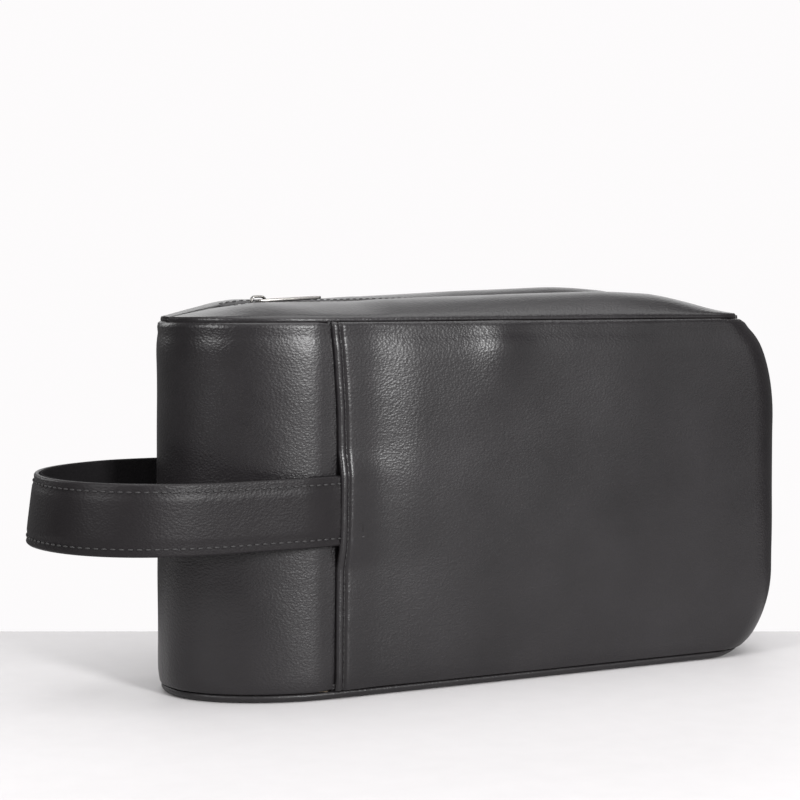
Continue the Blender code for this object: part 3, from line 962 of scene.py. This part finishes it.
def tape_strip(name, side, low, high):
    rows = []
    for x in spread(low, high, 40):
        ripple = 0.12 * MM * noise.noise(Vector((x * 60.0, side, 0)))
        row = [(x, -side * y * MM, TAPE_TOP + ripple) for y in (1.9, 3, 5, 7, 9)]
        rows.append(row if side > 0 else row[::-1])
    return thickened(grid_mesh(name, rows, tape_cloth), 0.5 * MM)


for word, side in SIDES:
    for end_word, low, high in (("left", ZIP_LEFT, MOUTH_MIDDLE),
                                ("right", MOUTH_MIDDLE, ZIP_RIGHT)):
        inset = 1 * MM if end_word == "left" else 0.0
        teeth = tooth_row(word + "_teeth_" + end_word, side, low + inset, high + inset - 1 * MM)
        cloth = tape_strip(word + "_tape_" + end_word, side, low, high)
        ends = ["_left", ""] if end_word == "left" else ["_right"]
        for made, node, slot in ((teeth, "_zip_teeth", "zip_teeth"),
                                 (cloth, "_zip_tape", "zip_tape")):
            bend_open(made, word + "_flap")
            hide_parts(*[word + node + end for end in ends])
            print(made.name, "faces", len(made.data.polygons))

# %% [markdown]
# ## Flat metal plates
# The zip's metal parts are stamped or cast plates with softened edges. A filled curve,
# extruded with a bevel, makes such a plate from its outline, holes included.

# %% Plates
def plate_piece(name, outlines, low, high, bevel):
    """A flat plate with holes, its edges rounded: the first outline is the outside."""
    curve = bpy.data.curves.new(name, "CURVE")
    curve.dimensions = "2D"
    curve.fill_mode = "BOTH"
    curve.extrude = (high - low) / 2 - bevel
    curve.bevel_depth = bevel
    curve.bevel_resolution = 2
    curve.offset = -bevel
    for outline_points in outlines:
        line = curve.splines.new("POLY")
        line.points.add(len(outline_points) - 1)
        for target, (x, y) in zip(line.points, outline_points):
            target.co = (x, y, 0, 1)
        line.use_cyclic_u = True
    made = bpy.data.objects.new(name, curve)
    made.location.z = (low + high) / 2
    bpy.context.scene.collection.objects.link(made)
    curve.materials.append(bright_metal)
    bpy.context.view_layer.update()
    made = edited(applied(made), weld=True)
    made.data.shade_smooth()
    made.data.set_sharp_from_angle(angle=math.radians(45))
    return made


def rounded_box(x0, x1, half0, half1, radius):
    """A plate's outline: its ends may differ in width, with round corners."""
    points = []
    corners = ((x1, half1, 0), (x0, half0, 90), (x0, -half0, 180), (x1, -half1, 270))
    for x, y, turn in corners:
        cx = x - radius if x == x1 else x + radius
        cy = y - radius if y > 0 else y + radius
        for angle in spread(turn, turn + 90, 5):
            rad = math.radians(angle)
            points.append((cx + radius * math.cos(rad), cy + radius * math.sin(rad)))
    return points


def joined(name, pieces):
    bm = bmesh.new()
    for piece in pieces:
        bm.from_mesh(piece.data)
        bpy.data.objects.remove(piece, do_unlink=True)
    mesh = bpy.data.meshes.new(name)
    bm.to_mesh(mesh)
    bm.free()
    return finish_mesh(name, mesh, bright_metal)

# %% [markdown]
# ## The slider
# The slider is a casting: two shield-shaped plates, wider at the nose where the rows of
# teeth part, a post between them, and a bridge that holds the pull. Each is made alone
# and all four are joined, because they are one piece of metal.

# %% Slider
PLATE = 1.1 * MM
BEVEL = 0.3 * MM
TOOTH_ROOM = 0.25 * MM
slide_low, slide_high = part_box("slider_body")
plate_low = TEETH_HIGH + TOOTH_ROOM
under_high = TEETH_LOW - TOOTH_ROOM
shield = rounded_box(slide_low[0], slide_high[0], 3.9 * MM, 3.0 * MM, 1.5 * MM)
upper = plate_piece("upper", [shield], plate_low, plate_low + PLATE, BEVEL)
lower = plate_piece("lower", [shield], under_high - PLATE, under_high, BEVEL)
wedge = [(slide_low[0] + x * MM, y * MM)
         for x, y in ((0.4, -0.25), (2.6, -0.3), (5.2, 0), (2.6, 0.3), (0.4, 0.25))]
post = plate_piece("post", [wedge], under_high - 0.2 * MM, plate_low + 0.2 * MM, 0.05 * MM)


def bridge_piece():
    """The loop on top of the slider: a flat bar bent into a low arch."""
    rows = []
    reach = 3.2 * MM
    height = slide_high[2] - plate_low - PLATE
    for turn in spread(0, 180, 16):
        angle = math.radians(turn)
        across = abs(math.cos(angle)) ** 0.6 * math.copysign(1, math.cos(angle))
        up = math.sin(angle) ** 0.6 if turn not in (0, 180) else 0.0
        centre = Vector((PULL_AXIS[0] - reach * across, 0, plate_low + 0.9 * MM + height * up))
        out = Vector((-math.cos(angle), 0, math.sin(angle)))
        row = []
        for around in spread(0, 360, 10)[:-1]:
            a = math.radians(around)
            row.append(centre + Vector((0, 1.05 * MM * math.cos(a), 0))
                       + out * (0.5 * MM * math.sin(a) - 0.4 * MM))
        rows.append(row)
    return edited(grid_mesh("bridge", rows, bright_metal, closed=True), close_ends=True)


slider = joined("slider_casting", [upper, lower, post, bridge_piece()])
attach(slider, "slider")
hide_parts("slider_body")
print("slider faces", len(slider.data.polygons))

# %% [markdown]
# ## The pull
# The pull is a slim plate with an eye at one end and a slot at the other. It rises a
# little towards its free end, because it rests on the crown of the leather.

# %% Pull
PULL_RISE = 1.2 * MM
pull_low, pull_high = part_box("pull_tab")
tab = rounded_box(pull_low[0], pull_high[0], 2.0 * MM, 3.0 * MM, 1.2 * MM)
eye = rounded_box(PULL_AXIS[0] + 0.6 * MM, PULL_AXIS[0] + 5.6 * MM, 1.25 * MM, 1.35 * MM, 0.6 * MM)
slot = rounded_box(pull_high[0] - 7.6 * MM, pull_high[0] - 1.7 * MM, 1.2 * MM, 1.35 * MM, 1.1 * MM)
pull = plate_piece("pull_plate", [tab, eye[::-1], slot[::-1]], pull_low[2], pull_high[2], BEVEL)
for vert in pull.data.vertices:
    along = rise(vert.co.x, PULL_AXIS[0], pull_high[0] - PULL_AXIS[0])
    vert.co.z += PULL_RISE * along ** 1.5
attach(pull, "pull")
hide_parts("pull_tab")
print("pull mm", [round(size * 1000, 1) for size in pull.dimensions])

# %% [markdown]
# ## The strap
# The strap is two layers of leather sewn back to back along both edges, a smooth one
# outside and the napped side of a hide inside. It leaves the folds of the front and back
# seams and makes a loop round the left end, leaning out a little at its lower edge. The
# path is worked out first, as points with a lean.

# %% Strap
STRAP_WIDE = STRAP_HIGH[2] - STRAP_LOW[2]
OUTER = 1.7 * MM
INNER = 1.2 * MM
RUN = STRAP_HIGH[1] - OUTER / 2 - 0.1 * MM
BIGHT = LEFT - 0.5 * MM
REACH = BIGHT - STRAP_LOW[0] - OUTER / 2
TUCK = SEAM_X + 10 * MM
LEAN = 0.14
CLIMB = 1.9 * MM


def strap_path():
    """(x, y, share of the lean) along the middle of the outer layer, front to back."""
    front = []
    for x in spread(TUCK, BIGHT, 34)[:-1]:
        tucked = 2.2 * MM * (1 - smooth(rise(TUCK - x, 8 * MM, 16 * MM)))
        front.append((x, -(RUN - tucked), 0.0))
    for turn in spread(0, 90, 30):
        angle = math.radians(turn)
        x = BIGHT - REACH * math.sin(angle) ** 0.94
        y = -RUN * math.cos(angle) ** 0.96 if turn < 90 else 0.0
        front.append((x, y, math.sin(angle) ** 1.5))
    back = [(x, -y, lean) for x, y, lean in front[:-1]]
    return front + back[::-1]


PATH = strap_path()


def strap_frame(index):
    """The middle, the outward and the upward direction at a place on the path."""
    x, y, lean = PATH[index]
    before = PATH[max(index - 1, 0)]
    after = PATH[min(index + 1, len(PATH) - 1)]
    along = Vector((after[0] - before[0], after[1] - before[1], 0)).normalized()
    out = along.cross(Vector((0, 0, 1))) * -1
    if out.dot(Vector((x - SEAM_X, y, 0))) < 0:
        out = -out
    up = (Vector((0, 0, 1)) - out * (LEAN * lean)).normalized()
    sag = 1.5 * MM * bell(x - LEFT, 30 * MM) * noise.noise(Vector((x * 20, y * 20, 0)))
    share = index / (len(PATH) - 1)
    climb = CLIMB * smooth(rise(share, 0.2, 0.6))
    centre = Vector((x, y, STRAP_Z + climb + sag * 0.5))
    return centre, out, up


print("strap points", len(PATH))

# %% [markdown]
# ## The strap's layers and stitches
# Each layer is the same rounded section swept along the path. The outer one puffs up a
# little between two grooves, where the rows of stitches pull it down.

# %% Strap layers
EDGE_STITCH_IN = 2.8 * MM
STRAP_GROOVE = (0.45 * MM, 0.8 * MM)
LAYER_GAP = 0.1 * MM


def strap_section(half, thick):
    """Once round a layer with rounded edges: (distance up from its middle, depth)."""
    flat = half - thick
    section = []
    for side, start in ((1, 60), (-1, 240)):
        section += [(side * level * flat, side * thick) for level in spread(-1, 1, 12)]
        for turn in spread(start, start - 120, 4):
            angle = math.radians(turn)
            section.append((side * flat + thick * math.cos(angle), thick * math.sin(angle)))
    return section


def strap_wave(centre):
    return 0.25 * MM * noise.noise(centre * 60.0)


def strap_layer(name, inner, outer, mat, crown):
    """A layer between two distances out from the outer layer's middle."""
    rows = []
    middle = (inner + outer) / 2
    half = STRAP_WIDE / 2
    for index in range(len(PATH)):
        centre, out, up = strap_frame(index)
        row = []
        for across, deep in strap_section(half, (outer - inner) / 2):
            level = abs(across) / half
            groove = STRAP_GROOVE[0] * bell(half - abs(across) - EDGE_STITCH_IN, STRAP_GROOVE[1])
            lift = crown * (1 - level ** 4) - groove if deep > 0 else 0.0
            row.append(centre + up * across + out * (middle + deep + lift + strap_wave(centre)))
        rows.append(row)
    return edited(grid_mesh(name, rows, mat, closed=True), close_ends=True)


def swing(made):
    """Bakes a piece's place into its mesh; nothing is bent."""
    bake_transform(made)


outer_strap = strap_layer("strap_outer_leather", -OUTER / 2, OUTER / 2, strap_hide, 0.35 * MM)
swing(outer_strap)
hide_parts("strap_outer")
inner_strap = strap_layer("strap_inner_suede", -OUTER / 2 - LAYER_GAP - INNER,
                          -OUTER / 2 - LAYER_GAP, strap_suede, 0.0)
swing(inner_strap)
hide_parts("strap_lining")


def strap_stitches(level, name):
    points = []
    across = level * (STRAP_WIDE / 2 - EDGE_STITCH_IN)
    for index in range(len(PATH)):
        centre, out, up = strap_frame(index)
        lift = OUTER / 2 + strap_wave(centre) + 0.06 * MM
        points.append(centre + up * across + out * lift)
    made = stitch_row(name, [points], 3.0 * MM, 2.2 * MM, 0.7 * MM, strap_thread_painted_lighter)
    swing(made)


strap_stitches(1, "strap_upper_stitches")
strap_stitches(-1, "strap_lower_stitches")
print("strap faces", len(outer_strap.data.polygons), len(inner_strap.data.polygons))

# %% [markdown]
# ## The lining
# Inside, a thin woven cloth hangs from the top seam, fits the foam walls loosely and
# covers the base board. It is a loft like the walls, set further in, with soft
# wrinkles, and it shows when the flaps are lifted.

# %% Lining
LINING_IN = -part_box("front_panel")[0][1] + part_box("front_lining")[0][1]
lining_low, lining_high = (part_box("front_lining")[i][2] for i in (0, 1))
WRINKLE = 0.5 * MM


def lining_wall(name, side):
    rows = []
    for z in spread(lining_low, lining_high, 40):
        row = []
        for way in spread(0, 4, 120):
            fold = WRINKLE * noise.noise(Vector((way * 9.0, side * 5.0, z * 25.0)))
            fade = rise(z, lining_low, 10 * MM) * rise(lining_high - z, 0, 10 * MM)
            inset = LINING_IN + 0.1 * MM + abs(fold) * fade
            p = outline(way, z) - outward(way, z) * inset
            row.append(Vector((p.x, side * min(p.y, -0.1 * MM), p.z)))
        rows.append(row if side > 0 else row[::-1])
    made = thickened(grid_mesh(name + "_cloth", rows, lining_cloth), 0.35 * MM)
    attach(made, "root")
    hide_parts(name)
    print(made.name, "faces", len(made.data.polygons))


lining_wall("front_lining", 1)
lining_wall("back_lining", -1)

# %% [markdown]
# ## The foam
# A thin foam is glued to the back of each wall's leather and gives the bag its body. It
# has to follow the leather's own swell, so it is the wall's loft again, set in by the
# leather's thickness, and closed by a thickness of its own.

# %% Foam
GLUE = 0.3 * MM
FOAM = 1.1 * MM
FACE_WAYS = spread(1.08, 3.97, 90)


def foam_wall(name, ways, side):
    """Foam behind one face, or behind both halves of the left end when side is 0."""
    rows = []
    for z in spread(FOOT + 2 * MM, TOP - 4 * MM, 40):
        row = [wall_point(way, z, LEATHER + GLUE, side or 1) for way in ways]
        if side == 0:
            row = mirrored(row[:0:-1]) + row
        rows.append(row if side >= 0 else row[::-1])
    made = thickened(grid_mesh(name + "_sheet", rows, foam_skin), FOAM)
    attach(made, "root")
    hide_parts(name)
    print(made.name, "faces", len(made.data.polygons))


foam_wall("end_foam", [way * 0.93 for way in spread(0, 1, 40)], 0)
foam_wall("front_foam", FACE_WAYS, 1)
foam_wall("back_foam", FACE_WAYS, -1)

# %% [markdown]
# ## Pieces kept from the model
# The base board, the base lining and the chain's stops already have their real shape,
# so they stay and only take a finish.

# %% Kept pieces
kept = {"base_board": fibre_board, "base_lining": lining_cloth, "stop": bright_metal}
for name, node in frame["nodes"].items():
    for word, mat in kept.items():
        if name.endswith(word):
            node.data.materials.clear()
            node.data.materials.append(mat)
            print(name, "takes", mat.name)

# %% [markdown]
# ## The table
# The bag stands on a pale table that ends behind it. The table is one flat face laid
# square to the camera, so the camera's place comes first.

# %% Table
EYE = Vector((-0.38983, -0.67861, 0.14834))
YAW = math.radians(27.905)
PITCH = math.radians(3.291)
TABLE_NEAR = 0.12
TABLE_FAR = 0.857
TABLE_HALF = 0.62
forward = Vector((math.sin(YAW), math.cos(YAW), 0))
sideways = Vector((math.cos(YAW), -math.sin(YAW), 0))
ground = Vector((EYE.x, EYE.y, 0))
table_rows = [[ground + forward * away + sideways * across for across in (-TABLE_HALF, TABLE_HALF)]
              for away in (TABLE_NEAR, TABLE_FAR)]
pale_table = flecked("pale table", (0.49, 0.478, 0.483, 1), (0.53, 0.517, 0.522, 1),
                     90.0, 0.0, 0.6, specular=0.3)
table = grid_mesh("table", table_rows, pale_table)
print("table", [round(size, 2) for size in table.dimensions])

# %% [markdown]
# ## The white room
# Seen directly the room is white, but black leather in a real studio mirrors mostly dim
# walls. The world is therefore bright to the eye and dimmer as a light.

# %% Room
world = bpy.data.worlds.new("white room")
bpy.context.scene.world = world
world.use_nodes = True
room = world.node_tree
background = room.nodes["Background"]
background.inputs["Color"].default_value = (1.0, 0.985, 0.99, 1)
seen = add(room, "ShaderNodeLightPath").outputs["Is Camera Ray"]
strength = Value(room, seen) * 0.82 + 0.16
room.links.new(strength.socket, background.inputs["Strength"])
bpy.context.scene.view_settings.view_transform = "Standard"
print("world", world.name)

# %% [markdown]
# ## Lamps
# Large area lamps give soft light. The front box and the left box are narrow, because
# the highlights on the leather are their reflections, and the top box lights the table.

# %% Lamps
def lamp(name, place, target, size, power):
    data = bpy.data.lights.new(name, "AREA")
    data.shape = "RECTANGLE"
    data.size, data.size_y = size
    data.energy = power
    made = bpy.data.objects.new(name, data)
    made.location = place
    aim = Vector(target) - Vector(place)
    made.rotation_euler = aim.to_track_quat("-Z", "Y").to_euler()
    bpy.context.scene.collection.objects.link(made)


lamp("front box", (0.07, -1.22, 0.47), (-0.04, 0, 0.1), (0.20, 0.34), 20.0)
lamp("right fill", (0.8, -0.95, 0.25), (0.05, 0, 0.08), (0.6, 0.5), 0.9)
lamp("left box", (-1.14, -0.41, 0.60), (-0.1, 0, 0.1), (0.26, 0.26), 7.0)
lamp("top box", (0.1, -0.22, 1.3), (0.05, -0.12, 0.0), (1.7, 1.5), 25.0)
lamp("back box", (0.45, 1.1, 0.6), (0, 0, 0.1), (1.2, 0.6), 3.5)
lamp("rear left box", (-0.65, 1.0, 0.55), (0, 0, 0.1), (0.4, 0.5), 3.0)
print("lamps", len(bpy.data.lights))

# %% [markdown]
# ## The camera
# A long lens, slightly above the bag and looking a few degrees down, keeps the walls
# nearly upright.

# %% Camera
lens = bpy.data.cameras.new("camera")
lens.lens = 90.97
lens.sensor_width = 36.0
lens.clip_start = 0.02
camera = bpy.data.objects.new("camera", lens)
camera.location = EYE
camera.rotation_euler = (math.pi / 2 - PITCH, 0, -YAW)
bpy.context.scene.collection.objects.link(camera)
bpy.context.scene.camera = camera
print("camera turned", round(math.degrees(YAW), 1), "degrees from the front")
